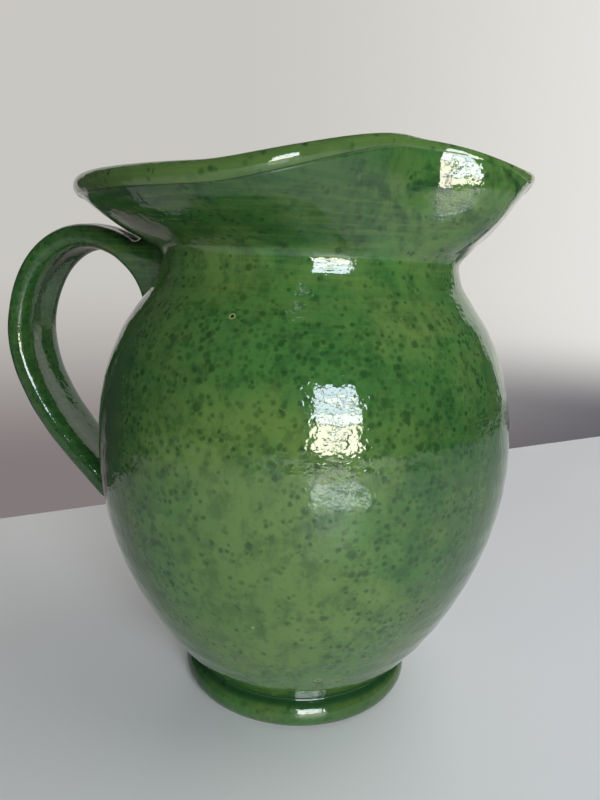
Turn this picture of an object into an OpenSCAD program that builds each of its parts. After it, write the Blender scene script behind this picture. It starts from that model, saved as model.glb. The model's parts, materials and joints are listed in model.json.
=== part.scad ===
// Ceramic pitcher: a thrown body on a rolled foot, with a pinched spout and a pulled strap handle.
// Millimetres, +Z up. The origin is on the throwing axis where the foot rests.
// The spout points along +X and the handle along -X.

/* [Body] */
// Diameter of the belly at its widest
belly_d = 167; // [140:1:200]
// Height of the widest point of the belly
belly_z = 104.5; // [88:0.5:125]
// Height of the neck
neck_z = 176.5; // [148:0.5:212]
// Diameter of the neck
neck_d = 117.8; // [99:0.1:141]
// How far the shoulder lies below the neck
shoulder_drop = 23; // [19:0.5:28]
// How far the shoulder lies inside the widest point of the belly
shoulder_inset = 12; // [10:0.5:15]
// Thickness of the thrown wall
wall = 5; // [4:0.5:7]

/* [Foot] */
// Outside diameter of the rolled foot
foot_d = 97.4; // [82:0.1:116]
// Height of the rolled foot
foot_h = 11.5; // [9.5:0.5:14]
// Depth of the crease between the foot and the body
crease = 4.4; // [3.5:0.1:5.5]
// Thickness of the floor disc
floor_t = 7; // [5:0.5:8.5]
// Width of the ledge that the floor disc lies on
ledge_w = 5.6; // [4:0.1:7]

/* [Mouth] */
// How far the lip flares past the neck on the handle side
back_flare = 31.6; // [26:0.1:38]
// How far the lip flares past the neck at each side
side_flare = 27.1; // [22:0.1:33]
// How far the lip stands past the neck where it is pinched beside the spout
pinch_flare = 7; // [5:0.1:9]
// How far the spout's tip reaches past the neck
spout_flare = 23.8; // [20:0.1:28]
// Height of the lip above the neck on the handle side
back_rise = 28; // [23:0.1:34]
// Height of the lip above the neck at its lowest, towards each side
side_rise = 25.3; // [21:0.1:30]
// Height of the lip above the neck where it is pinched
pinch_rise = 37.7; // [31:0.1:45]
// Height of the spout's tip above the neck
tip_rise = 34; // [28:0.1:40]
// How far the lip dips between the spout's tip and the pinch
dip = 3.4; // [2.5:0.1:4.1]
// Thickness of the rolled lip
lip_t = 6.6; // [5.5:0.1:8]
// Thickness of the spout's lip
spout_lip_t = 4; // [3.3:0.1:4.8]

/* [Handle] */
// Width of the strap
strap_w = 28; // [23:0.5:34]
// Thickness of the strap
strap_t = 11.5; // [9.5:0.5:14]
// Clear gap between the belly and the strap, for the fingers
finger_gap = 42; // [35:0.5:51]
// Height of the arch's middle line above the neck
arch_rise = 8.8; // [7:0.1:10]
// Height at which the strap comes back to the body
return_z = 74; // [62:1:89]
// Width of the clay pressed on at each end of the strap, where the strap meets it
root_w = 28; // [24:0.5:34]
// Width of the same clay where it fades into the body
root_end_w = 18; // [15:0.5:22]
// How far the upper root runs down the shoulder from the neck
upper_root_h = 26.5; // [22:0.5:32]
// How far the lower root runs down the belly from the end of the strap
lower_root_h = 36; // [30:0.5:43]

/* [Hidden] */
$fn = 96;

glaze = "#4a8a3a";
dark_glaze = "#3a7430";
bare_clay = "#a8805c";

belly_r = belly_d / 2;
neck_r = neck_d / 2;
foot_r = foot_d / 2;
shoulder_r = belly_r - shoulder_inset;
shoulder_z = neck_z - shoulder_drop;

// Foot: a round roll. The floor disc drops into it, and the body sits round the disc.
roll_r = foot_h / 2;
body_foot_r = foot_r - crease;
disc_r = body_foot_r - wall;
recess_r = disc_r - ledge_w;
ledge_z = foot_h - floor_t;
seat_z = foot_h - 1.5;

// Body: the outline rises on a sine, then runs through the shoulder to the neck.
rise_power = 0.85;
shoulder_slope = -0.58;
neck_flare = 0.097;
joint_z = neck_z + 4;
joint_r = neck_r + neck_flare * pow(joint_z - neck_z, 2);
body_steps = 14;
slope_step = 0.5;

function hermite(a, b, ma, mb, t) =
    a * (2 * pow(t, 3) - 3 * t * t + 1) + ma * (pow(t, 3) - 2 * t * t + t)
    + b * (3 * t * t - 2 * pow(t, 3)) + mb * (pow(t, 3) - t * t);

// Outside radius of the body at height z.
function body_r(z) =
    z < belly_z ? body_foot_r + (belly_r - body_foot_r)
        * sin(90 * pow(max(0, z - foot_h) / (belly_z - foot_h), rise_power)) :
    z < shoulder_z ? hermite(belly_r, shoulder_r, 0, shoulder_slope * (shoulder_z - belly_z),
        (z - belly_z) / (shoulder_z - belly_z)) :
    z < neck_z ? hermite(shoulder_r, neck_r, shoulder_slope * (neck_z - shoulder_z), 0,
        (z - shoulder_z) / (neck_z - shoulder_z)) :
    neck_r + neck_flare * pow(z - neck_z, 2);

// Inside radius of the body: the wall keeps its thickness across a sloping outline.
function slope(z) = (body_r(z + slope_step) - body_r(z - slope_step)) / (2 * slope_step);
function bore_r(z) = z < joint_z ? body_r(z) - wall * sqrt(1 + min(1, pow(slope(z), 2)))
    : joint_r - wall;
body_heights = concat(
    [for (i = [0:body_steps]) foot_h + (belly_z - foot_h) * i / body_steps],
    [for (i = [1:body_steps]) belly_z + (neck_z - belly_z) * i / body_steps],
    [(neck_z + joint_z) / 2, joint_z]);

// Mouth: key angles from the spout's axis, joined by smooth steps.
pinch_a = 43;
fall_a = 50;
front_a = 90;
side_a = 100;
split_a = 58;
tip_power = 2.2;
flare_swell = 0.38;
cheek_swell = 1.45;
cheek_a = 30;
cheek_spread = 14;

function turn(a) = abs(a > 180 ? a - 360 : a);
function smooth(t) = let (u = min(1, max(0, t))) u * u * (3 - 2 * u);
function blend(a, low, high) = smooth((turn(a) - low) / (high - low));
function mouth_r(a) =
    let (tip = pow(sin(90 * pow(min(1, turn(a) / pinch_a), tip_power)), 2))
    neck_r + spout_flare + (pinch_flare - spout_flare) * tip
    + (side_flare - pinch_flare) * blend(a, pinch_a, front_a)
    + (back_flare - side_flare) * blend(a, front_a, 180);
function lip_z(a) =
    neck_z + tip_rise + (pinch_rise - tip_rise) * blend(a, 0, pinch_a)
    - dip * pow(sin(180 * min(1, turn(a) / pinch_a)), 2)
    + (side_rise - pinch_rise) * blend(a, fall_a, side_a)
    + (back_rise - side_rise) * blend(a, side_a, 180);
function lip_w(a) = spout_lip_t + (lip_t - spout_lip_t) * blend(a, pinch_a, front_a);
function swell(a) = flare_swell * blend(a, 0, split_a)
    + cheek_swell * exp(-pow((turn(a) - cheek_a) / cheek_spread, 2));
function lip_lean(a) =
    atan((mouth_r(a) - joint_r) * (1 - swell(a)) / (lip_z(a) - lip_w(a) / 2 - joint_z));

// One upright section of the collar and spout, as [radius, height] points around its outline.
section_steps = 7;
lip_steps = 5;
square_on = 0.35;
lean_step = 0.02;
function flare(a, s) =
    let (b = lip_lean(a), h = lip_w(a) / 2,
        r = mouth_r(a) - h * (1 - cos(b)), z = lip_z(a) - h * (1 + sin(b)))
    [joint_r + (r - joint_r) * (s + swell(a) * s * (1 - s)), joint_z + (z - joint_z) * s];
function lean(a, s) =
    let (d = flare(a, min(1, s + lean_step)) - flare(a, max(0, s - lean_step)))
    atan2(d[0], d[1]);
function inner(a, s) =
    let (b = lean(a, s) * min(1, s / square_on), w = wall + (lip_w(a) - wall) * s * s)
    flare(a, s) + w * [-cos(b), sin(b)];
function section(a) =
    let (o = flare(a, 1), i = inner(a, 1), c = (o + i) / 2, h = (o - i) / 2, up = [-h[1], h[0]])
    concat(
        [for (k = [0:section_steps]) flare(a, k / section_steps)],
        [for (k = [1:lip_steps - 1]) c + h * cos(180 * k / lip_steps) + up * sin(180 * k / lip_steps)],
        [for (k = [section_steps:-1:0]) inner(a, k / section_steps)]);

// A skin through a list of rings with the same number of points, closed at both ends.
module skin(rings) {
    m = len(rings[0]);
    last = len(rings) - 1;
    points = [for (ring = rings) each ring];
    sides = [for (j = [0:last - 1], k = [0:m - 1]) each
        let (n = (k + 1) % m, p = j * m, q = p + m) [[p + k, q + n, q + k], [p + k, p + n, q + n]]];
    polyhedron(points, concat(sides, [[for (k = [m - 1:-1:0]) k], [for (k = [0:m - 1]) last * m + k]]));
}

// The wall of the mouth from one angle to another.
module mouth_wall(from_a, to_a, steps) {
    skin([for (i = [0:steps]) let (a = from_a + (to_a - from_a) * i / steps)
        [for (p = section(a)) [p[0] * cos(a), p[0] * sin(a), p[1]]]]);
}

// Handle: the strap's middle line as [distance from the axis, height], by way of four key points.
handle_reach = belly_r + finger_gap + strap_t / 2;
start_dir = [0.81, 0.586];
end_dir = [-0.726, -0.688];
strap_start = [neck_r + 19.6, neck_z + 3.3];
strap_top = [neck_r + 38, neck_z + arch_rise];
strap_out = [handle_reach, (return_z + neck_z) / 2 + 17.5];
strap_end = [body_r(return_z) + 8, return_z];
strap_steps = [4, 13, 17];
strap_sides = 20;
strap_round = 0.72;
arch_pull = 1.66;
return_pull = norm(strap_end - strap_out);

function run(a, b, ma, mb, steps) = [for (k = [0:steps - 1]) hermite(a, b, ma, mb, k / steps)];
strap_line = concat(
    run(strap_start, strap_top, start_dir * norm(strap_top - strap_start),
        [norm(strap_top - strap_start), 0], strap_steps[0]),
    run(strap_top, strap_out, [(strap_out[0] - strap_top[0]) * arch_pull, 0],
        [0, (strap_out[1] - strap_top[1]) * arch_pull], strap_steps[1]),
    run(strap_out, strap_end, [0, -return_pull], end_dir * return_pull, strap_steps[2]),
    [strap_end]);
function strap_dir(j) =
    let (d = j == 0 ? start_dir : j == len(strap_line) - 1 ? end_dir
        : strap_line[j + 1] - strap_line[j - 1])
    d / norm(d);
function rounded(x) = sign(x) * pow(abs(x), strap_round);

start_side = [-start_dir[1], start_dir[0]] * strap_t / 2;
end_side = [-end_dir[1], end_dir[0]] * strap_t / 2;

// Roots: the clay that joins each end of the strap to the body thins out downwards.
root_steps = 6;
root_power = 1.55;
tuck = 1.5;
upper_low_z = neck_z - upper_root_h;
lower_low_z = return_z - lower_root_h;

// The outer edge of a root, from the strap's lower corner down to low_z.
function root_edge(corner, low_z) = [for (k = [0:root_steps])
    let (u = 1 - k / root_steps, z = low_z + (corner[1] - low_z) * u)
    [body_r(z) + (corner[0] - body_r(corner[1])) * pow(u, root_power), z]];

// A root's side outline, drawn in the plane of the handle.
module root_block(outline) {
    rotate([90, 0, 180]) linear_extrude(height = root_w, center = true) polygon(outline);
}

// A root seen from the handle side: it narrows downwards to a round end.
module root_tongue(low_z, high_z) {
    end_r = root_end_w / 2;
    end_z = low_z + end_r;
    rotate([90, 0, -90]) linear_extrude(height = handle_reach) union() {
        translate([0, end_z]) circle(r = end_r);
        polygon([[-end_r, end_z], [end_r, end_z], [root_w / 2, high_z], [-root_w / 2, high_z]]);
    }
}

// The solid inside the body's outside face, which the roots are cut back to.
module body_envelope() {
    rotate_extrude()
        polygon(concat([[0, foot_h]], [for (z = body_heights) [body_r(z), z]], [[0, joint_z]]));
}

module base_disc() {
    color(bare_clay) translate([0, 0, ledge_z]) cylinder(r = disc_r, h = floor_t);
}

module foot_ring() {
    color(dark_glaze) rotate_extrude() difference() {
        union() {
            translate([foot_r - roll_r, roll_r]) circle(r = roll_r);
            translate([recess_r, 0]) square([foot_r - roll_r - recess_r, foot_h]);
        }
        translate([0, ledge_z]) square([disc_r, foot_h]);
        translate([0, seat_z]) square([body_foot_r, foot_h]);
    }
}

module belly() {
    outer = [for (z = body_heights) [body_r(z), z]];
    inside = [for (i = [len(body_heights) - 1:-1:0]) [bore_r(body_heights[i]), body_heights[i]]];
    color(glaze) rotate_extrude() polygon(concat(
        [[disc_r, seat_z], [body_foot_r, seat_z]], outer, inside, [[disc_r, foot_h]]));
}

module collar() {
    color(glaze) mouth_wall(split_a, 360 - split_a, 44);
}

module spout() {
    color(glaze) mouth_wall(-split_a, split_a, 28);
}

module handle() {
    color(glaze) skin([for (j = [0:len(strap_line) - 1]) let (p = strap_line[j], d = strap_dir(j))
        [for (k = [0:strap_sides - 1])
            let (a = 360 * k / strap_sides, y = rounded(cos(a)) * strap_w / 2,
                h = rounded(sin(a)) * strap_t / 2)
            [-(p[0] - d[1] * h), y, p[1] + d[0] * h]]]);
}

module upper_root() {
    top = strap_start + start_side;
    under = strap_start - start_side;
    high_z = joint_z - tuck / 2;
    color(dark_glaze) difference() {
        intersection() {
            root_block(concat([top], root_edge(under, upper_low_z), [[neck_r - wall, upper_low_z],
                [neck_r - wall, high_z], [neck_r + 4, high_z]]));
            root_tongue(upper_low_z, top[1] + tuck);
        }
        body_envelope();
    }
}

module lower_root() {
    inside = strap_end - end_side;
    outside = strap_end + end_side;
    high_z = inside[1] + tuck;
    color(dark_glaze) difference() {
        intersection() {
            root_block(concat([inside], root_edge(outside, lower_low_z),
                [[body_r(lower_low_z) - wall, lower_low_z], [body_r(lower_low_z) - wall, high_z],
                [body_r(high_z) - tuck, high_z]]));
            root_tongue(lower_low_z, high_z);
        }
        body_envelope();
    }
}

base_disc();
foot_ring();
belly();
collar();
spout();
handle();
upper_root();
lower_root();
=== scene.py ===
import json
import math

import bpy
import numpy as np
from mathutils import Matrix, Vector


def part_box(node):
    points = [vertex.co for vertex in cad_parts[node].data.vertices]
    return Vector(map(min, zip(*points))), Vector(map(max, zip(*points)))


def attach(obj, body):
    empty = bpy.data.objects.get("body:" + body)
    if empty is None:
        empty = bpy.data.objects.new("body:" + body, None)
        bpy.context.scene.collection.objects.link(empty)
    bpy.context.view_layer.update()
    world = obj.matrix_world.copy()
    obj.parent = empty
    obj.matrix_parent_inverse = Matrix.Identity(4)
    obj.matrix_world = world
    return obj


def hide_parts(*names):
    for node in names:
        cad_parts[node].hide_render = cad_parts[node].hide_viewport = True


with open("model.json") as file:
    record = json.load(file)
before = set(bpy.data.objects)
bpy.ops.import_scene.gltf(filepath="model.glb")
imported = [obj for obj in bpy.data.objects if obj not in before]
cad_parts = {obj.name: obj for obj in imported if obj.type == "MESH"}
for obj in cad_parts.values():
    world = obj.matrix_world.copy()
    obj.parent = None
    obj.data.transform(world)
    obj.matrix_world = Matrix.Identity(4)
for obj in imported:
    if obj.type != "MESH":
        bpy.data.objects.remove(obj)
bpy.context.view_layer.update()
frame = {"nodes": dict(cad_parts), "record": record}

FOOT_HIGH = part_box("foot_ring")[1]
BELLY_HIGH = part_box("belly")[1]
COLLAR_LOW, COLLAR_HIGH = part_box("collar")
SPOUT_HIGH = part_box("spout")[1]
HANDLE_LOW, HANDLE_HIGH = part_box("handle")

bl_info = {
    "name": "Ceramic Pitcher",
    "version": (1, 0, 0),
    "blender": (4, 5, 0),
    "location": "3D View > Sidebar > Pitcher",
    "description": "Builds a green glazed pitcher, its materials, lights and table",
    "category": "Object",
}

MM = 0.001
NECK_Z = BELLY_HIGH.z - 0.004
BODY = frame["record"].get("behaviour", {}).get("bodies", {"root": []})
ROOT = "root" if "root" in BODY else sorted(BODY)[0]


# ---------------------------------------------------------------------------
# What a user may change
# ---------------------------------------------------------------------------


def length(name, description, default):
    return bpy.props.FloatProperty(
        name=name, description=description, default=default, min=0.0,
        subtype="DISTANCE", unit="LENGTH", precision=4)


def colour(name, description, default):
    return bpy.props.FloatVectorProperty(
        name=name, description=description, default=default, size=3, min=0.0, max=1.0,
        subtype="COLOR")


class PitcherSizes(bpy.types.PropertyGroup):
    belly_radius: length("Belly radius", "Radius of the belly at its widest", BELLY_HIGH.x)
    belly_height: length("Belly height", "Height of the widest point", 0.1045)
    foot_radius: length("Foot radius", "Outside radius of the rolled foot", FOOT_HIGH.x)
    foot_height: length("Foot height", "Height of the rolled foot", 0.0115)
    neck_radius: length("Neck radius", "Radius of the neck", 0.0589)
    neck_height: length("Neck height", "Height of the neck", NECK_Z)
    wall: length("Wall", "Thickness of the thrown wall", 0.005)
    back_reach: length("Back reach", "How far the lip reaches on the handle side",
                       -COLLAR_LOW.x)
    side_reach: length("Side reach", "How far the lip reaches at each side", COLLAR_HIGH.y)
    tip_reach: length("Tip reach", "How far the tip of the spout reaches", SPOUT_HIGH.x)
    bead: length("Lip bead", "How far the rolled lip stands out of the flare", 0.0008)
    strap_width: length("Strap width", "Width of the strap", HANDLE_HIGH.y - HANDLE_LOW.y)
    strap_thickness: length("Strap thickness", "Thickness of the strap", 0.0115)
    strap_reach: length("Strap reach", "How far the strap reaches from the axis",
                        -HANDLE_LOW.x)


class PitcherColours(bpy.types.PropertyGroup):
    green: colour("Green", "The glaze where it has its usual thickness", (0.043, 0.137, 0.030))
    # The deep green stands for pooled glaze and also paints shade: on the belly's flanks, the
    # handle side, the collar, under the rim and in folds.
    deep_and_shade: colour("Deep green", "The glaze where it has pooled", (0.008, 0.046, 0.012))
    olive: colour("Olive", "The glaze where it is thin", (0.112, 0.178, 0.044))
    speck: colour("Speckle", "Copper grains in the glaze", (0.006, 0.036, 0.008))
    clay: colour("Clay", "Bare fired clay", (0.33, 0.19, 0.10))
    table: colour("Table", "The table top", (0.86, 0.88, 0.915))


# ---------------------------------------------------------------------------
# Shape of the thrown body. Lengths are millimetres and angles are degrees here.
# ---------------------------------------------------------------------------


def smooth(t):
    t = np.clip(t, 0.0, 1.0)
    return t * t * (3 - 2 * t)


def hermite(a, b, slope_a, slope_b, t):
    return (a * (2 * t**3 - 3 * t * t + 1) + slope_a * (t**3 - 2 * t * t + t)
            + b * (3 * t * t - 2 * t**3) + slope_b * (t**3 - t * t))


def waves(points, seed, count, shortest, longest, height):
    """A gentle, repeatable unevenness: plane waves in many directions, summed."""
    rng = np.random.default_rng(seed)
    total = np.zeros(points.shape[:-1])
    for _ in range(count):
        way = rng.normal(size=3)
        way /= np.linalg.norm(way)
        wavelength = rng.uniform(shortest, longest)
        total += np.sin(points @ way * (2 * math.pi / wavelength) + rng.uniform(0, 6.283))
    return total * height / math.sqrt(count)


class Body:
    """The thrown form: outlines of the foot, body, mouth and inside."""

    # Underneath, as (radius, height): out of sight inside the floor disc, then the bare ring.
    UNDERSIDE = ((16, 6.0), (30, 6.0), (33.4, 6.0), (33.7, 5.6), (33.7, 2.6), (33.8, 1.0),
                 (34.2, 0.35), (34.9, 0.05), (36.5, 0), (38.5, 0), (40.5, 0))
    UNDER_Z = 6.0
    ROLL_FROM, ROLL_TO, ROLL_ROWS = -88, 52, 26
    # The crease above the foot, filled a little by pooled glaze.
    CREASE_FILL = ((45.75, 10.95), (45.2, 11.35), (44.95, 11.85), (45.1, 12.4), (45.7, 13.05))
    CREASE = 4.4
    WALL_FROM, LOW_TO, SHOULDER_FROM = 13.9, 34.0, 158.0
    FLOOR_TOP = 12.2
    FLOOR_TURN = 26.0
    FLOOR_FLAT = 24.0
    FLOOR_RINGS = (20, 16, 12, 8, 4.5, 2)
    SHOULDER_DROP = 23.0
    SHOULDER_INSET = 12.0
    SHOULDER_SLOPE = -0.58
    NECK_FLARE = 0.097
    NECK_RUN = 4.0
    RISE_POWER = 0.85
    PINCH_A, FALL_A, FRONT_A, SIDE_A, SPLIT_A = 43.0, 50.0, 90.0, 100.0, 58.0
    PINCH_FLARE = 7.0
    TIP_POWER = 2.2
    TIP_RISE, PINCH_RISE, SIDE_RISE, BACK_RISE = 34.0, 37.7, 25.3, 28.0
    DIP = 3.4
    LIP_W, SPOUT_LIP_W = 6.6, 4.0
    SWELL, CHEEK, CHEEK_A, CHEEK_SPREAD = 0.38, 1.45, 30.0, 14.0
    SQUARE_ON = 0.35
    # The rolled lip, as parts of the way from the neck (0) to the lip (1).
    BEAD_ROWS_FROM, BEAD_AT, GROOVE_AT, GROOVE_SPREAD = 0.90, 0.962, 0.956, 0.013
    GROOVE = 0.25
    FOLD_TOP = 17.5
    WHEEL_PITCH = 9.0

    def __init__(self, sizes):
        self.belly_r = sizes.belly_radius / MM
        self.belly_z = sizes.belly_height / MM
        self.foot_r = sizes.foot_radius / MM
        self.foot_h = sizes.foot_height / MM
        self.neck_r = sizes.neck_radius / MM
        self.neck_z = sizes.neck_height / MM
        self.wall = sizes.wall / MM
        self.bead = sizes.bead / MM
        self.back_flare = sizes.back_reach / MM - self.neck_r
        self.side_flare = sizes.side_reach / MM - self.neck_r
        self.tip_flare = sizes.tip_reach / MM - self.neck_r
        self.body_foot_r = self.foot_r - self.CREASE
        self.shoulder_r = self.belly_r - self.SHOULDER_INSET
        self.shoulder_z = self.neck_z - self.SHOULDER_DROP
        self.joint_z = self.neck_z + self.NECK_RUN
        self.joint_r = self.neck_r + self.NECK_FLARE * self.NECK_RUN**2

    def outside(self, z):
        z = np.asarray(z, float)
        rise = np.clip((z - self.foot_h) / (self.belly_z - self.foot_h), 0, 1)
        low = self.body_foot_r + (self.belly_r - self.body_foot_r) * np.sin(
            math.pi / 2 * rise**self.RISE_POWER)
        span = self.shoulder_z - self.belly_z
        upper = hermite(self.belly_r, self.shoulder_r, 0, self.SHOULDER_SLOPE * span,
                        (z - self.belly_z) / span)
        span = self.neck_z - self.shoulder_z
        shoulder = hermite(self.shoulder_r, self.neck_r, self.SHOULDER_SLOPE * span, 0,
                           (z - self.shoulder_z) / span)
        neck = self.neck_r + self.NECK_FLARE * (z - self.neck_z) ** 2
        return np.where(z < self.belly_z, low, np.where(
            z < self.shoulder_z, upper, np.where(z < self.neck_z, shoulder, neck)))

    def inside(self, z):
        slope = self.outside(z + 0.5) - self.outside(z - 0.5)
        return self.outside(z) - self.wall * np.sqrt(1 + np.minimum(1, slope**2))

    def mouth(self, turn):
        """Reach, height and thickness of the lip at an angle from the spout's axis."""
        def blend(low, high):
            return smooth((turn - low) / (high - low))

        near = np.clip(turn / self.PINCH_A, 0, 1)
        reach = (self.neck_r + self.tip_flare
                 + (self.PINCH_FLARE - self.tip_flare)
                 * np.sin(math.pi / 2 * near**self.TIP_POWER) ** 2
                 + (self.side_flare - self.PINCH_FLARE) * blend(self.PINCH_A, self.FRONT_A)
                 + (self.back_flare - self.side_flare) * blend(self.FRONT_A, 180))
        height = (self.neck_z + self.TIP_RISE
                  + (self.PINCH_RISE - self.TIP_RISE) * blend(0, self.PINCH_A)
                  - self.DIP * np.sin(math.pi * near) ** 2
                  + (self.SIDE_RISE - self.PINCH_RISE) * blend(self.FALL_A, self.SIDE_A)
                  + (self.BACK_RISE - self.SIDE_RISE) * blend(self.SIDE_A, 180))
        width = self.SPOUT_LIP_W + (self.LIP_W - self.SPOUT_LIP_W) * blend(
            self.PINCH_A, self.FRONT_A)
        return reach, height, width

    def flare(self, turn, s):
        """Outside of the mouth, s running from the neck (0) to the lip (1)."""
        reach, height, width = self.mouth(turn)
        swell = self.SWELL * smooth(turn / self.SPLIT_A) + self.CHEEK * np.exp(
            -(((turn - self.CHEEK_A) / self.CHEEK_SPREAD) ** 2))
        half = width / 2
        lean = np.arctan((reach - self.joint_r) * (1 - swell) / (height - half - self.joint_z))
        r = reach - half * (1 - np.cos(lean))
        z = height - half * (1 + np.sin(lean))
        return (self.joint_r + (r - self.joint_r) * (s + swell * s * (1 - s)),
                self.joint_z + (z - self.joint_z) * s)

    def lean(self, turn, s):
        r1, z1 = self.flare(turn, np.minimum(1, s + 0.02))
        r0, z0 = self.flare(turn, np.maximum(0, s - 0.02))
        return np.arctan2(r1 - r0, z1 - z0)


def body_rows(body, turns):
    """The closed outline at every angle, as rows of (radius, height, lip, fold, inside, bare)."""
    rows = []
    ones = np.ones_like(turns)

    def add(r, z, lip=0.0, fold=0.0, inside=0.0, bare=0.0):
        rows.append([r * ones, z * ones, lip * ones, fold * ones, inside * ones, bare * ones])

    for r, z in body.UNDERSIDE:
        add(r, z, bare=1.0)
    # The fold values on the roll top, the crease and the low wall darken the glaze there: partly
    # pooled glaze, partly painted shade in the crease.
    roll = body.foot_h / 2
    centre = body.foot_r - roll
    for angle in np.linspace(body.ROLL_FROM, body.ROLL_TO, body.ROLL_ROWS):
        a = math.radians(angle)
        add(centre + roll * math.cos(a), roll + roll * math.sin(a),
            bare=float(np.clip(-(angle + 55) / 22, 0, 1)),
            fold=float(smooth((angle - 34) / 24)))
    for r, z in body.CREASE_FILL:
        add(r, z, fold=1.0)
    heights = np.concatenate([
        np.linspace(body.WALL_FROM, body.LOW_TO, 22),
        np.linspace(body.LOW_TO, body.SHOULDER_FROM, 74)[1:],
        np.linspace(body.SHOULDER_FROM, body.joint_z, 28)[1:]])
    for z in heights:
        add(body.outside(z), z, fold=float(smooth((body.FOLD_TOP - z) / 4.5)))
    # Outside of the mouth, with the bead of the rolled lip.
    _, _, width = body.mouth(turns)
    full = (width - body.SPOUT_LIP_W) / (body.LIP_W - body.SPOUT_LIP_W)
    run = np.concatenate([np.linspace(0, body.BEAD_ROWS_FROM, 24)[1:],
                          np.linspace(body.BEAD_ROWS_FROM, 1, 14)[1:]])
    for s in run:
        r, z = body.flare(turns, s)
        b = body.lean(turns, s)
        bead = body.bead * (0.35 + 0.65 * full) * smooth((s - body.BEAD_AT) / 0.02)
        groove = body.GROOVE * np.exp(-(((s - body.GROOVE_AT) / body.GROOVE_SPREAD) ** 2)) * full
        edge_r, edge_z = r + (bead - groove) * np.cos(b), z - (bead - groove) * np.sin(b)
        add(edge_r, edge_z, lip=float(smooth((s - 0.952) / 0.03)))
    # Over the lip.
    r, z = body.flare(turns, np.ones_like(turns))
    b = body.lean(turns, np.ones_like(turns))
    in_r, in_z = r - width * np.cos(b), z + width * np.sin(b)
    mid_r, mid_z = (edge_r + in_r) / 2, (edge_z + in_z) / 2
    half_r, half_z = (edge_r - in_r) / 2, (edge_z - in_z) / 2
    for angle in np.linspace(0, 180, 14)[1:-1]:
        c, s = math.cos(math.radians(angle)), math.sin(math.radians(angle))
        add(mid_r + half_r * c - half_z * s, mid_z + half_z * c + half_r * s, lip=1.0,
            inside=float(angle > 120))
    # Inside of the mouth, then down the bore to the floor.
    for s in np.linspace(1, 0, 26):
        r, z = body.flare(turns, s)
        b = body.lean(turns, s) * min(1, s / body.SQUARE_ON)
        w = body.wall + (width - body.wall) * s * s
        add(r - w * np.cos(b), z + w * np.sin(b), lip=float(smooth((s - 0.9) / 0.1)), inside=1.0)
    floor, turn_z, flat = body.FLOOR_TOP, body.FLOOR_TURN, body.FLOOR_FLAT
    for z in np.linspace(body.joint_z, turn_z, 62)[1:]:
        add(body.inside(z), z, inside=1.0)
    start_r = float(body.inside(turn_z))
    for t in np.linspace(0, 1, 11)[1:]:
        # A quarter of a rounded square from the wall to the floor.
        a = t * math.pi / 2
        add(flat + (start_r - flat) * math.cos(a) ** 0.75,
            floor + (turn_z - floor) * (1 - math.sin(a) ** 0.9), inside=1.0)
    for r in body.FLOOR_RINGS:
        add(r, floor + 0.25 * math.sin(r * 0.9), inside=1.0)
    return np.array(rows)


def uneven(body, turns, rows):
    """Hand-thrown unevenness, as a shift outwards for every point."""
    r, z = rows[:, 0], rows[:, 1]
    a = np.radians(turns)[None, :]
    points = np.stack([r * np.cos(a), r * np.sin(a), z], -1)
    bare, inside = rows[:, 5], rows[:, 4]
    out = waves(points, 11, 10, 55, 110, 0.28)
    out += waves(points, 12, 26, 9, 17, 0.035)
    wheel = 2 * math.pi / body.WHEEL_PITCH
    spiral = z + a / wheel
    strong = 0.05 + 0.10 * np.exp(-(((z - body.neck_z - 2) / 14) ** 2)) + 0.06 * np.exp(
        -(((z - 26) / 12) ** 2))
    out += strong * np.sin(spiral * wheel) * (1 - rows[:, 2])
    out += inside * 0.22 * np.sin(spiral * wheel + 1.3) * np.clip(
        (body.joint_z - z) / 20, 0, 1)
    return out * (1 - bare) * np.clip((z - 0.5) / 6, 0, 1)


def grid_mesh(name, points, values, cap_low, cap_high):
    """A mesh from closed rings of points, with a pole at each end and a value layer per key."""
    rings, around = points.shape[:2]
    verts = [tuple(p) for p in points.reshape(-1, 3)]
    low, high = len(verts), len(verts) + 1
    verts += [cap_low, cap_high]
    faces = []
    for j in range(rings - 1):
        a, b = j * around, (j + 1) * around
        faces += [(a + k, a + (k + 1) % around, b + (k + 1) % around, b + k)
                  for k in range(around)]
    faces += [(low, (k + 1) % around, k) for k in range(around)]
    last = (rings - 1) * around
    faces += [(high, last + k, last + (k + 1) % around) for k in range(around)]
    mesh = bpy.data.meshes.new(name)
    mesh.from_pydata(verts, [], faces)
    for key, layer in values.items():
        data = np.concatenate([layer.ravel(), [layer[0, 0], layer[-1, 0]]]).astype(np.float32)
        mesh.attributes.new(key, "FLOAT", "POINT").data.foreach_set("value", data)
    mesh.update()
    mesh.shade_smooth()
    return mesh


def place(mesh, name):
    piece = bpy.data.objects.new(name, mesh)
    bpy.context.scene.collection.objects.link(piece)
    return piece


# ---------------------------------------------------------------------------
# Shape of the pulled strap
# ---------------------------------------------------------------------------


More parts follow.
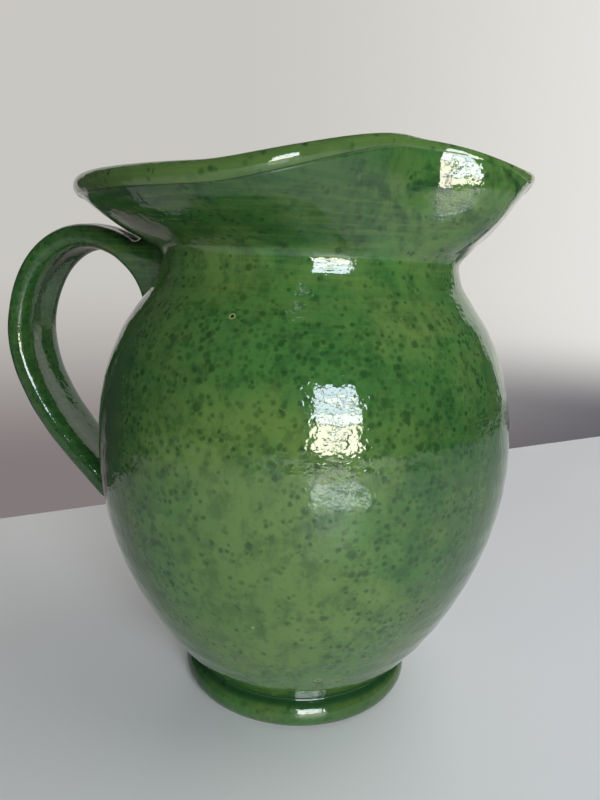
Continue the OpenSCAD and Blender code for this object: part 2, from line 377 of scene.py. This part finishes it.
class Strap:
    """The pulled strap: its line as (distance behind the axis, height), and its section."""

    START_DIR = np.array([0.81, 0.586])
    END_DIR = np.array([-0.726, -0.688])
    START_OUT, START_UP = 19.6, 3.3
    TOP_OUT, OUTMOST_LIFT = 38, 17.5
    RETURN_OUT, RETURN_Z = 8, 74.0
    ROUND = 0.72
    ARCH_RISE = 8.8
    ARCH_PULL = 1.66
    # Where each end lands on the body: middle height, reach up and down, then the half-width
    # at the top and at the bottom.
    UPPER_LANDING = (169.0, 20.0, 23.5, 17.0, 9.0)
    LOWER_LANDING = (66.0, 13.0, 25.0, 16.5, 8.5)
    LANDING_STEPS = 20
    LEAVE_PULL, ARRIVE_PULL = 0.9, 1.15
    FADE_RINGS = 12

    def __init__(self, body, sizes):
        self.body = body
        self.width = sizes.strap_width / MM
        self.thick = sizes.strap_thickness / MM
        reach = sizes.strap_reach / MM - self.thick / 2
        self.start = np.array([body.neck_r + self.START_OUT, body.neck_z + self.START_UP])
        self.top = np.array([body.neck_r + self.TOP_OUT, body.neck_z + self.ARCH_RISE])
        self.out = np.array([reach, (self.RETURN_Z + body.neck_z) / 2 + self.OUTMOST_LIFT])
        self.end = np.array([float(body.outside(self.RETURN_Z)) + self.RETURN_OUT,
                             self.RETURN_Z])

    def line(self):
        def run(a, b, slope_a, slope_b, steps):
            t = np.linspace(0, 1, steps + 1)[:-1, None]
            return hermite(a[None], b[None], slope_a[None], slope_b[None], t)

        first = np.linalg.norm(self.top - self.start)
        arch = (self.out - self.top) * self.ARCH_PULL
        back = np.linalg.norm(self.end - self.out)
        return np.concatenate([
            run(self.start, self.top, self.START_DIR * first, np.array([first, 0]), 22),
            run(self.top, self.out, np.array([arch[0], 0]), np.array([0, arch[1]]), 52),
            run(self.out, self.end, np.array([0, -back]), self.END_DIR * back, 66),
            self.end[None]])

    def section(self, count):
        """Half-width and thickness of the strap around it, with a hollow along the inner face."""
        a = np.linspace(0, 2 * math.pi, count, endpoint=False)
        c, s = np.cos(a), np.sin(a)
        y = np.sign(c) * np.abs(c) ** self.ROUND * self.width / 2
        h = np.sign(s) * np.abs(s) ** self.ROUND * self.thick / 2
        across = y / (self.width / 2)
        h += np.where(s < 0, 1.3 * np.exp(-((across / 0.5) ** 2)) * np.abs(s), 0)
        h -= np.where(s > 0, 0.55 * np.exp(-(((np.abs(across) - 0.42) / 0.2) ** 2)) * np.abs(s), 0)
        return y, h


def strap_rings(strap, around):
    body = strap.body
    line = strap.line()
    step = np.gradient(line, axis=0)
    step[0], step[-1] = strap.START_DIR, strap.END_DIR
    step /= np.linalg.norm(step, axis=1)[:, None]
    y, h = strap.section(around)
    rings = np.array([np.stack([-(p[0] - d[1] * h), y, p[1] + d[0] * h], 1)
                      for p, d in zip(line, step)])

    def landing(middle_z, up, down, half_top, half_low):
        """The strap's outline on the body, a tongue that narrows downwards."""
        a = np.linspace(0, 2 * math.pi, around, endpoint=False)
        c, s = np.cos(a), np.sin(a)
        z = middle_z + np.where(s > 0, up * np.abs(s) ** 0.9, -down * np.abs(s) ** 1.1)
        t = np.clip((middle_z + up - z) / (up + down), 0, 1)
        half = half_top + (half_low - half_top) * smooth(t)
        side = np.sign(c) * np.abs(c) ** 0.8 * half
        r = body.outside(z) - 0.35
        return np.stack([-np.sqrt(np.maximum(r**2 - side**2, 1)), side, z], 1)

    def bridge(ring, ahead, place_on):
        """Rings that leave the strap along its own line and meet the body tangentially."""
        target, middle_z = landing(*place_on), place_on[0]
        centre = np.array([-float(body.outside(middle_z)), 0.0, middle_z])
        away = target - centre
        slope = (body.outside(target[:, 2] + 0.5) - body.outside(target[:, 2] - 0.5))
        radial = np.stack([target[:, 0], target[:, 1]], 1)
        radial /= np.linalg.norm(radial, axis=1)[:, None]
        normal = np.stack([radial[:, 0], radial[:, 1], -slope], 1)
        normal /= np.linalg.norm(normal, axis=1)[:, None]
        away -= (away * normal).sum(1)[:, None] * normal
        far = np.linalg.norm(away, axis=1)[:, None]
        away /= np.maximum(far, 1e-6)
        gap = np.linalg.norm(target - ring, axis=1)[:, None]
        leave = np.array([-ahead[0], 0.0, ahead[1]])[None] * gap * strap.LEAVE_PULL
        arrive = away * gap * strap.ARRIVE_PULL - normal * 0.3
        return np.array([hermite(ring, target, leave, arrive, t)
                         for t in np.linspace(0, 1, strap.LANDING_STEPS + 1)[1:]])

    start = bridge(rings[0], -strap.START_DIR, strap.UPPER_LANDING)
    end = bridge(rings[-1], strap.END_DIR, strap.LOWER_LANDING)
    all_rings = np.concatenate([start[::-1], rings, end])
    bumps = waves(all_rings, 21, 14, 16, 40, 0.16) + waves(all_rings, 22, 20, 7, 14, 0.03)
    middle = all_rings.mean(1, keepdims=True)
    way = all_rings - middle
    way /= np.maximum(np.linalg.norm(way, axis=2, keepdims=True), 1e-6)
    hold = np.ones(len(all_rings))
    fade = strap.FADE_RINGS
    hold[:fade] = np.linspace(0, 1, fade)
    hold[-fade:] = np.linspace(1, 0, fade)
    return all_rings + way * (bumps * hold[:, None])[..., None]


# ---------------------------------------------------------------------------
# Materials
# ---------------------------------------------------------------------------


class Nodes:
    """Short names for the shader nodes that the finishes are built from."""

    def __init__(self, name):
        self.material = bpy.data.materials.new(name)
        self.material.use_nodes = True
        self.tree = self.material.node_tree
        self.tree.nodes.clear()
        self.out = self.add("ShaderNodeOutputMaterial")
        self.shader = self.add("ShaderNodeBsdfPrincipled")
        self.link(self.shader.outputs[0], self.out.inputs[0])
        self.where = self.add("ShaderNodeTexCoord").outputs["Object"]

    def add(self, kind, **values):
        node = self.tree.nodes.new(kind)
        for key, value in values.items():
            setattr(node, key, value)
        return node

    def link(self, source, target):
        self.tree.links.new(source, target)

    def put(self, value, socket):
        if isinstance(value, bpy.types.NodeSocket):
            self.link(value, socket)
        else:
            socket.default_value = value

    def stretch(self, x, y, z, shift=(0, 0, 0)):
        node = self.add("ShaderNodeMapping")
        self.link(self.where, node.inputs[0])
        node.inputs["Scale"].default_value = (x, y, z)
        node.inputs["Location"].default_value = shift
        return node.outputs[0]

    def noise(self, size_mm, detail=2.0, rough=0.5, distort=0.0, where=None):
        node = self.add("ShaderNodeTexNoise")
        self.link(where or self.where, node.inputs["Vector"])
        node.inputs["Scale"].default_value = 1000.0 / size_mm
        node.inputs["Detail"].default_value = detail
        node.inputs["Roughness"].default_value = rough
        node.inputs["Distortion"].default_value = distort
        return node.outputs[0]

    def cells(self, size_mm, where=None):
        node = self.add("ShaderNodeTexVoronoi")
        self.link(where or self.where, node.inputs["Vector"])
        node.inputs["Scale"].default_value = 1000.0 / size_mm
        return node.outputs["Distance"], node.outputs["Color"]

    def math(self, operation, a, b=0.0, clamp=False):
        node = self.add("ShaderNodeMath", operation=operation, use_clamp=clamp)
        self.put(a, node.inputs[0])
        self.put(b, node.inputs[1])
        return node.outputs[0]

    def times(self, a, b):
        return self.math("MULTIPLY", a, b)

    def plus(self, a, b, clamp=False):
        return self.math("ADD", a, b, clamp)

    def minus(self, a, b, clamp=False):
        return self.math("SUBTRACT", a, b, clamp)

    def ramp(self, value, low, high, out_low=0.0, out_high=1.0):
        node = self.add("ShaderNodeMapRange", interpolation_type="SMOOTHSTEP")
        self.put(value, node.inputs["Value"])
        self.put(low, node.inputs["From Min"])
        self.put(high, node.inputs["From Max"])
        node.inputs["To Min"].default_value = out_low
        node.inputs["To Max"].default_value = out_high
        return node.outputs[0]

    def mix(self, factor, a, b):
        node = self.add("ShaderNodeMix", data_type="RGBA")
        self.put(factor, node.inputs[0])
        for value, socket in ((a, node.inputs[6]), (b, node.inputs[7])):
            self.put(value if isinstance(value, bpy.types.NodeSocket) else (*value, 1.0), socket)
        return node.outputs[2]

    def tint(self, tone, colour, where, strength):
        """The tone, turned towards a colour where the value is high."""
        return self.mix(self.times(where, strength), tone, tuple(colour))

    def layer(self, name):
        return self.add("ShaderNodeAttribute", attribute_name=name).outputs["Fac"]

    def axis(self, index):
        node = self.add("ShaderNodeSeparateXYZ")
        self.link(self.where, node.inputs[0])
        return node.outputs[index]

    def relief(self, height_mm):
        node = self.add("ShaderNodeBump")
        node.inputs["Strength"].default_value = 1.0
        node.inputs["Distance"].default_value = MM
        self.put(height_mm, node.inputs["Height"])
        return node.outputs[0]


# Places on the glaze, in metres. A band of height runs from where it starts to where it is full;
# NECK_END and SPECK_HIGH run from full to faded.
SHOULDER_BAND = (0.150, 0.186)
NECK_BAND = (0.150, 0.170)
NECK_END = (0.188, 0.204)
COLLAR_BAND = (0.174, 0.190)
RIM_BAND = (0.180, 0.192)
BELLY_BAND = (0.160, 0.120)
SPECK_LOW, SPECK_HIGH = (0.026, 0.072), (0.148, 0.172)
# The same along the line from the handle (below zero) to the spout.
SPOUT_SIDE = (0.062, 0.018)
HANDLE_SIDE = (-0.012, -0.078)
STRAP_SIDE = (-0.088, -0.098)
# The thin area low on the front: its middle, with heights squeezed, and how far it reaches.
THIN_MIDDLE = (0.004, -0.080, 0.043)
THIN_SQUEEZE = 0.62
THIN_REACH = (0.046, 0.018)
# Copper grains: spacing in millimetres, then radius and soft edge as parts of the spacing.
SPECKS = ((2.5, 0.14, 0.30), (3.2, 0.13, 0.28), (4.4, 0.13, 0.24), (7.0, 0.11, 0.16))


def glaze_drifts(n, thin_far, z, colours):
    """Drifts between green and olive, the thin area, painted shade on the belly away from the thin
    area, and two sizes of mottling.
    """
    drift = n.ramp(n.noise(30, 4.0, 0.6, 0.3), 0.36, 0.72, 0.0, 0.75)
    tone = n.mix(drift, tuple(colours.green), tuple(colours.olive))
    tone = n.tint(tone, colours.olive, n.ramp(thin_far, *THIN_REACH), 0.42)
    # Painted shade: below the shoulder the belly turns deep green away from the thin area, darkest
    # on the flanks.
    around = n.ramp(thin_far, 0.036, 0.070, 0.0, 0.55)
    tone = n.tint(tone, colours.deep_and_shade, around, n.ramp(z, *BELLY_BAND))
    mottle = n.ramp(n.noise(6.5, 5.0, 0.70, 0.25, n.stretch(1, 1, 0.75)), 0.44, 0.66)
    tone = n.tint(tone, colours.deep_and_shade, mottle, 0.50)
    pale = n.ramp(n.noise(4.5, 4.0, 0.72, 0.2, n.stretch(1, 1, 0.6, (0.3, 0.1, 0.2))), 0.50, 0.72)
    return n.tint(tone, colours.olive, pale, 0.30)


def glaze_pools_and_shade(n, tone, x, z, colours):
    """Runs down the shoulder; clouds under the rim and a deeper collar, both partly pooled glaze
    and partly painted shade; painted shade on the handle side.
    """
    runs = n.ramp(n.noise(9, 4.0, 0.65, 0.5, n.stretch(1, 1, 0.16)), 0.50, 0.72)
    tone = n.tint(tone, colours.deep_and_shade, n.times(runs, n.ramp(z, *SHOULDER_BAND)), 0.62)
    # Partly pooled glaze, partly painted shade: dark clouds on the downward-facing collar under the
    # rim.
    clouds = n.ramp(n.noise(16, 4.0, 0.62, 0.8, n.stretch(1, 1, 1.5, (0.7, 0.2, 0.4))), 0.50, 0.64)
    tone = n.tint(tone, colours.deep_and_shade, n.times(clouds, n.ramp(z, *RIM_BAND)), 0.75)
    # Partly pooled glaze, partly painted shade: the downward-facing collar turns deep green, except
    # towards the spout.
    collar_coat_and_shade = n.times(n.ramp(z, *COLLAR_BAND), n.ramp(x, *SPOUT_SIDE))
    tone = n.tint(tone, colours.deep_and_shade, collar_coat_and_shade, 0.60)
    # Painted shade: the handle side of the pot turns deep green.
    return n.tint(tone, colours.deep_and_shade, n.ramp(x, *HANDLE_SIDE), 0.50)


def glaze_specks(n, thin_far, strap, z):
    """How much copper grain there is: thick in some areas and sparse in others."""
    crowd = n.ramp(n.noise(36, 3.0, 0.55, 0.5, n.stretch(1, 1, 1, (0.15, 0.6, 0.35))),
                   0.32, 0.52, 0.30, 1.1)
    belt = n.times(n.ramp(z, *SPECK_LOW, 0.14, 1.0), n.ramp(z, *SPECK_HIGH, 1.0, 0.20))
    belt = n.math("MAXIMUM", belt, strap)
    thin = n.times(n.ramp(thin_far, *THIN_REACH), 0.75)
    crowd = n.times(n.times(crowd, belt), n.minus(1.0, thin))
    ragged = n.times(n.minus(n.noise(1.5, 2.0, 0.6), 0.5), 0.34)
    specks = 0.0
    for size, radius, edge in SPECKS:
        far, pick = n.cells(size, n.stretch(1, 1, 1, (size * 0.01, 0.02, 0.05)))
        chance = n.add("ShaderNodeSeparateColor")
        n.link(pick, chance.inputs[0])
        size_pick, keep_pick, depth_pick = chance.outputs
        reach = n.times(n.plus(size_pick, 0.6), radius)
        dot = n.ramp(n.plus(far, ragged), n.plus(reach, edge), reach)
        keep = n.math("GREATER_THAN", crowd, n.times(keep_pick, 1.15))
        dot = n.times(n.times(dot, keep), n.plus(n.times(depth_pick, 0.6), 0.4))
        specks = n.math("MAXIMUM", specks, dot)
    return specks


def glaze_material(colours):
    """Copper-green glaze over slip: mottled, streaked, speckled, thin on edges, with pooled glaze
    and painted shade in folds and on the collar, and painted shade on the handle side and flanks.
    """
    n = Nodes("copper_green_glaze")
    x, z = n.axis(0), n.axis(2)
    lip, fold, bare = (n.layer(name) for name in ("lip", "fold", "bare"))
    middle = n.add("ShaderNodeVectorMath", operation="DISTANCE")
    n.link(n.stretch(1, 1, THIN_SQUEEZE), middle.inputs[0])
    middle.inputs[1].default_value = THIN_MIDDLE
    thin_far = n.plus(middle.outputs["Value"],
                      n.times(n.minus(n.noise(22, 4.0, 0.6, 0.6), 0.5), 0.05))
    strap = n.ramp(x, *STRAP_SIDE)
    tone = glaze_pools_and_shade(n, glaze_drifts(n, thin_far, z, colours), x, z, colours)

    # Throwing lines, where the glaze breaks to olive on each fine ridge.
    lines = n.ramp(n.noise(1.5, 2.0, 0.5, 0.0, n.stretch(0.05, 0.05, 1)), 0.44, 0.62)
    neck = n.plus(n.ramp(z, *NECK_BAND), n.ramp(z, *NECK_END, 0.0, -1.0), True)
    neck = n.minus(neck, strap, True)
    tone = n.tint(tone, colours.olive, lines, n.plus(n.times(neck, 0.20), 0.08))

    # Pooled glaze and painted shade in folds, thinning over edges, and copper grains.
    tone = n.tint(tone, colours.deep_and_shade, fold, 0.95)
    tone = n.tint(tone, colours.olive, lip, 0.42)
    specks = glaze_specks(n, thin_far, strap, z)
    tone = n.tint(tone, colours.speck, specks, 0.70)

    # A few pinholes, each a dark pit in a pale ring.
    far, _ = n.cells(27, n.stretch(1, 1, 1, (0.4, 0.9, 0.1)))
    ring = n.times(n.ramp(far, 0.050, 0.034), n.ramp(far, 0.018, 0.028))
    pit = n.ramp(far, 0.026, 0.016)
    tone = n.tint(tone, (0.30, 0.36, 0.12), ring, 0.7)
    tone = n.mix(pit, tone, (0.01, 0.025, 0.006))

    # Bare clay under the foot, with an uneven glaze line.
    wobble = n.ramp(n.noise(7, 2.0), 0.3, 0.7, -0.25, 0.25)
    naked = n.ramp(n.plus(bare, wobble), 0.42, 0.58)
    grain = n.ramp(n.noise(1.1, 3.0, 0.7), 0.35, 0.7)
    clay = n.mix(grain, tuple(c * 0.72 for c in colours.clay), tuple(colours.clay))
    n.link(n.mix(naked, tone, clay), n.shader.inputs["Base Color"])

    gloss = n.ramp(n.noise(20, 2.0), 0.3, 0.75, 0.045, 0.10)
    n.link(n.plus(gloss, n.times(naked, 0.68), True), n.shader.inputs["Roughness"])
    n.shader.inputs["IOR"].default_value = 1.62

    # Relief: ripples and swells of the glaze, throwing lines, grains, pinholes, clay.
    wheel = n.noise(2.4, 2.0, 0.5, 0.0, n.stretch(0.04, 0.04, 1))
    height = n.plus(n.times(n.noise(3.4, 2.0, 0.5), 0.17), n.times(n.noise(8.5, 2.0, 0.45), 0.20))
    for layer, depth in ((wheel, n.plus(n.times(neck, 0.16), 0.03)), (specks, 0.03),
                         (pit, -0.35), (n.times(grain, naked), 0.25)):
        height = n.plus(height, n.times(layer, depth))
    n.link(n.relief(height), n.shader.inputs["Normal"])
    return n.material


def clay_material(colours):
    """Bare fired clay: fine grain, darker iron spots and the arcs of the cutting wire."""
    n = Nodes("bare_foot_clay")
    grain = n.noise(1.2, 4.0, 0.7)
    patch = n.ramp(n.noise(16, 3.0, 0.6), 0.35, 0.7)
    tone = n.mix(patch, tuple(c * 0.70 for c in colours.clay), tuple(colours.clay))
    tone = n.mix(n.ramp(grain, 0.58, 0.72, 0.0, 0.6), tone, (0.16, 0.075, 0.035))
    far, _ = n.cells(4.5)
    tone = n.mix(n.ramp(far, 0.12, 0.06, 0.0, 0.8), tone, (0.07, 0.035, 0.02))
    n.link(tone, n.shader.inputs["Base Color"])
    n.link(n.ramp(grain, 0.3, 0.7, 0.72, 0.9), n.shader.inputs["Roughness"])
    arcs = n.add("ShaderNodeTexWave", wave_type="RINGS", rings_direction="Z")
    n.link(n.stretch(1, 1, 0, (0.07, 0.02, 0)), arcs.inputs["Vector"])
    arcs.inputs["Scale"].default_value = 95
    arcs.inputs["Distortion"].default_value = 1.4
    height = n.plus(n.times(arcs.outputs["Fac"], 0.12), n.times(grain, 0.35))
    n.link(n.relief(height), n.shader.inputs["Normal"])
    return n.material


def table_material(colours):
    """A pale satin table top."""
    n = Nodes("pale_table")
    cloud = n.ramp(n.noise(260, 2.0), 0.3, 0.7)
    # Painted light: the table top turns warmer and a little darker towards the left, away from the
    # cool window light.
    warm = tuple(c * w for c, w in zip(colours.table, (1.0, 0.965, 0.90)))
    tone = n.mix(n.ramp(n.axis(0), -0.45, 0.35), warm, tuple(colours.table))
    tone = n.tint(tone, (0.70, 0.70, 0.70), cloud, 0.05)
    n.link(tone, n.shader.inputs["Base Color"])
    n.link(n.ramp(n.noise(90, 2.0), 0.3, 0.7, 0.30, 0.38), n.shader.inputs["Roughness"])
    n.link(n.relief(n.times(n.noise(3.0, 2.0), 0.01)), n.shader.inputs["Normal"])
    return n.material


def backdrop_material():
    """A graded pale backdrop that glows as painted light, brighter above, with painted shadow
    darker towards the table.
    """
    n = Nodes("graded_backdrop")
    across = n.ramp(n.axis(0), -0.9, 1.1)
    left, right = n.ramp(n.axis(2), -0.55, 0.20), n.ramp(n.axis(2), -0.26, 0.02)
    up = n.plus(n.times(left, n.minus(1.0, across)), n.times(right, across))
    # Painted shadow: the dark band low on the backdrop, nearest the table.
    low = n.mix(across, (0.22, 0.19, 0.19), (0.085, 0.085, 0.105))
    top = n.mix(across, (0.575, 0.56, 0.53), (0.82, 0.81, 0.78))
    # The backdrop's own colour is near black; all its brightness is painted light from its glow.
    n.shader.inputs["Base Color"].default_value = (0.02, 0.02, 0.02, 1)
    n.shader.inputs["Roughness"].default_value = 1.0
    n.link(n.mix(up, low, top), n.shader.inputs["Emission Color"])
    n.shader.inputs["Emission Strength"].default_value = 1.0
    return n.material


def glaze(context):
    """The one glaze that the body and the strap share."""
    found = bpy.data.materials.get("copper_green_glaze")
    return found or glaze_material(context.scene.pitcher_colours)


# ---------------------------------------------------------------------------
# Operators
# ---------------------------------------------------------------------------


# Points around the body and around the strap.
BODY_AROUND = 308
STRAP_AROUND = 72


class PITCHER_OT_body(bpy.types.Operator):
    """Builds the glazed body: foot, belly, neck, collar, spout and inside, in one skin"""
    bl_idname = "pitcher.body"
    bl_label = "Glazed body"

    def execute(self, context):
        body = Body(context.scene.pitcher_sizes)
        angles = np.arange(BODY_AROUND) * 360.0 / BODY_AROUND
        turns = np.where(angles > 180, 360 - angles, angles)
        rows = body_rows(body, turns)
        out = uneven(body, angles, rows)
        a = np.radians(angles)[None, :]
        r = rows[:, 0] + out
        points = np.stack([r * np.cos(a), r * np.sin(a), rows[:, 1]], -1) * MM
        layers = {"lip": rows[:, 2], "fold": rows[:, 3], "bare": rows[:, 5]}
        mesh = grid_mesh("glazed_body", points, layers, (0, 0, body.UNDER_Z * MM),
                         (0, 0, (body.FLOOR_TOP + 0.3) * MM))
        piece = place(mesh, "glazed_body")
        mesh.materials.append(glaze(context))
        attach(piece, ROOT)
        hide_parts("foot_ring", "belly", "collar", "spout")
        return {"FINISHED"}


class PITCHER_OT_handle(bpy.types.Operator):
    """Builds the pulled strap handle, luted to the neck and to the belly"""
    bl_idname = "pitcher.handle"
    bl_label = "Strap handle"

    def execute(self, context):
        sizes = context.scene.pitcher_sizes
        rings = strap_rings(Strap(Body(sizes), sizes), STRAP_AROUND) * MM
        shape = rings.shape[:2]
        layers = {key: np.zeros(shape) for key in ("lip", "fold", "bare")}
        # The strap's ends, where it meets the body, are darkened through the fold layer: partly
        # pooled glaze, partly painted shade at the joints.
        fade = np.clip(1 - np.arange(shape[0]) / Strap.FADE_RINGS, 0, 1)
        layers["fold"] += (np.maximum(fade, fade[::-1]) ** 2)[:, None] * 0.55
        mesh = grid_mesh("strap_handle", rings, layers, tuple(rings[0].mean(0)),
                         tuple(rings[-1].mean(0)))
        piece = place(mesh, "strap_handle")
        mesh.materials.append(glaze(context))
        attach(piece, ROOT)
        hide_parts("handle", "upper_root", "lower_root")
        return {"FINISHED"}


class PITCHER_OT_floor_disc(bpy.types.Operator):
    """Gives the floor disc under the pot its bare clay"""
    bl_idname = "pitcher.floor_disc"
    bl_label = "Bare floor disc"

    def execute(self, context):
        disc = frame["nodes"]["base_disc"]
        clay = clay_material(context.scene.pitcher_colours)
        if not disc.material_slots:
            disc.data.materials.append(clay)
        for slot in disc.material_slots:
            slot.material = clay
        return {"FINISHED"}


class PITCHER_OT_stage(bpy.types.Operator):
    """Builds the table, backdrop, lights and camera"""
    bl_idname = "pitcher.stage"
    bl_label = "Stage"

    # The table top's outline from above; its far edge runs from the first point to the second.
    TABLE_EDGE = ((-1.10, -0.72), (0.82, 1.10), (2.2, 0.6), (1.6, -1.9), (-1.4, -1.9))
    TABLE_THICK = 0.03
    # The backdrop is an arc round the pot, from one angle to another.
    WALL_RADIUS, WALL_LOW, WALL_HIGH = 2.2, -1.2, 2.2
    WALL_FROM, WALL_TURN, WALL_STEPS = 56, 92, 40
    # Rows of window panes: elevation, tint and radiance. A row has one pane at each azimuth.
    PANE_ROWS = ((25.5, (0.76, 0.88, 1.0), 15.0), (15.5, (0.95, 0.98, 1.0), 17.0),
                 (5.0, (1.0, 0.93, 0.78), 17.0))
    PANE_AZIMUTHS = (23.5, 36.0)
    PANE_FAR, PANE_WIDTH, PANE_HEIGHT = 1.30, 0.255, 0.200
    AIM = Vector((0.0, 0.0, 0.105))
    ROOM = (0.050, 0.048, 0.056, 1)
    # The camera: place, turn to the side, tilt down, roll and focal length.
    CAMERA_AT = (0.0610, -0.2528, 0.1706)
    CAMERA_TURN, CAMERA_TILT, CAMERA_ROLL = 14.0, 10.94, 2.19
    FOCAL_LENGTH, SENSOR = 28.2, 36.0

    def execute(self, context):
        self.table(context)
        self.backdrop()
        self.lights()
        self.camera(context)
        return {"FINISHED"}

    def table(self, context):
        verts = [(x, y, z) for z in (0.0, -self.TABLE_THICK) for x, y in self.TABLE_EDGE]
        count = len(self.TABLE_EDGE)
        faces = [tuple(range(count))[::-1], tuple(range(count, 2 * count))]
        faces += [(k, (k + 1) % count, count + (k + 1) % count, count + k) for k in range(count)]
        mesh = bpy.data.meshes.new("table_top")
        mesh.from_pydata(verts, [], faces)
        mesh.update()
        top = place(mesh, "table_top")
        round_edge = top.modifiers.new("edge", "BEVEL")
        round_edge.width = 0.004
        round_edge.segments = 4
        mesh.materials.append(table_material(context.scene.pitcher_colours))

    def backdrop(self):
        verts = []
        for k in range(self.WALL_STEPS + 1):
            a = math.radians(self.WALL_FROM + self.WALL_TURN * k / self.WALL_STEPS)
            x, y = self.WALL_RADIUS * math.cos(a), self.WALL_RADIUS * math.sin(a)
            verts += [(x, y, self.WALL_LOW), (x, y, self.WALL_HIGH)]
        faces = [(i, i + 2, i + 3, i + 1) for i in range(0, 2 * self.WALL_STEPS, 2)]
        mesh = bpy.data.meshes.new("backdrop")
        mesh.from_pydata(verts, [], faces)
        mesh.update()
        mesh.shade_smooth()
        wall = place(mesh, "backdrop")
        mesh.materials.append(backdrop_material())

    def panel(self, name, azimuth, elevation, distance, width, height, radiance, tint):
        """A soft panel at an azimuth from the front (towards +X), aimed at the pot."""
        a, e = math.radians(azimuth), math.radians(elevation)
        way = Vector((math.sin(a) * math.cos(e), -math.cos(a) * math.cos(e), math.sin(e)))
        lamp = bpy.data.lights.new(name, "AREA")
        lamp.shape = "RECTANGLE"
        lamp.size, lamp.size_y = width, height
        lamp.energy = radiance * math.pi * width * height
        lamp.color = tint
        thing = bpy.data.objects.new(name, lamp)
        thing.location = self.AIM + way * distance
        thing.rotation_mode = "QUATERNION"
        thing.rotation_quaternion = (-way).to_track_quat("-Z", "Y")
        bpy.context.scene.collection.objects.link(thing)
        return thing

    def lights(self):
        # A tall window of panes to the right, cool above and warm below.
        for row, (elevation, tint, radiance) in enumerate(self.PANE_ROWS):
            for column, azimuth in enumerate(self.PANE_AZIMUTHS):
                self.panel(f"window_pane_{row}_{column}", azimuth, elevation, self.PANE_FAR,
                           self.PANE_WIDTH, self.PANE_HEIGHT, radiance, tint)
        # Light thrown up by the table, and a soft fill that is too wide to be mirrored.
        self.panel("table_glow", 31.0, -20.0, 0.42, 0.19, 0.12, 4.0, (0.68, 0.83, 1.0))
        fill = self.panel("overhead_fill", 105.0, 58.0, 1.8, 1.6, 1.6, 1.35, (1.0, 0.99, 0.97))
        fill.visible_glossy = False
        world = bpy.data.worlds.new("room")
        world.use_nodes = True
        sky = world.node_tree.nodes["Background"]
        sky.inputs["Color"].default_value = self.ROOM
        sky.inputs["Strength"].default_value = 1.0
        bpy.context.scene.world = world

    def camera(self, context):
        lens = bpy.data.cameras.new("camera")
        lens.lens = self.FOCAL_LENGTH
        lens.sensor_width = self.SENSOR
        lens.clip_start = 0.01
        seat = bpy.data.objects.new("camera", lens)
        turn = (Matrix.Rotation(math.radians(self.CAMERA_TURN), 4, "Z")
                @ Matrix.Rotation(math.radians(90.0 - self.CAMERA_TILT), 4, "X")
                @ Matrix.Rotation(math.radians(self.CAMERA_ROLL), 4, "Z"))
        seat.matrix_world = Matrix.Translation(self.CAMERA_AT) @ turn
        context.scene.collection.objects.link(seat)
        context.scene.camera = seat
        context.scene.view_settings.view_transform = "Standard"


class PITCHER_PT_panel(bpy.types.Panel):
    """Lists the pitcher's sizes, colours and build steps"""
    bl_idname = "PITCHER_PT_panel"
    bl_label = "Ceramic Pitcher"
    bl_space_type = "VIEW_3D"
    bl_region_type = "UI"
    bl_category = "Pitcher"

    def draw(self, context):
        column = self.layout.column()
        for group in (context.scene.pitcher_sizes, context.scene.pitcher_colours):
            for name in group.__annotations__:
                column.prop(group, name)
        for operator in OPERATORS:
            column.operator(operator.bl_idname)


OPERATORS = (PITCHER_OT_body, PITCHER_OT_handle, PITCHER_OT_floor_disc, PITCHER_OT_stage)
CLASSES = (PitcherSizes, PitcherColours, *OPERATORS, PITCHER_PT_panel)


def register():
    for each in CLASSES:
        bpy.utils.register_class(each)
    bpy.types.Scene.pitcher_sizes = bpy.props.PointerProperty(type=PitcherSizes)
    bpy.types.Scene.pitcher_colours = bpy.props.PointerProperty(type=PitcherColours)


def unregister():
    del bpy.types.Scene.pitcher_colours
    del bpy.types.Scene.pitcher_sizes
    for each in reversed(CLASSES):
        bpy.utils.unregister_class(each)


def main():
    register()
    bpy.ops.pitcher.body()
    bpy.ops.pitcher.handle()
    bpy.ops.pitcher.floor_disc()
    bpy.ops.pitcher.stage()


if __name__ == "__main__":
    main()
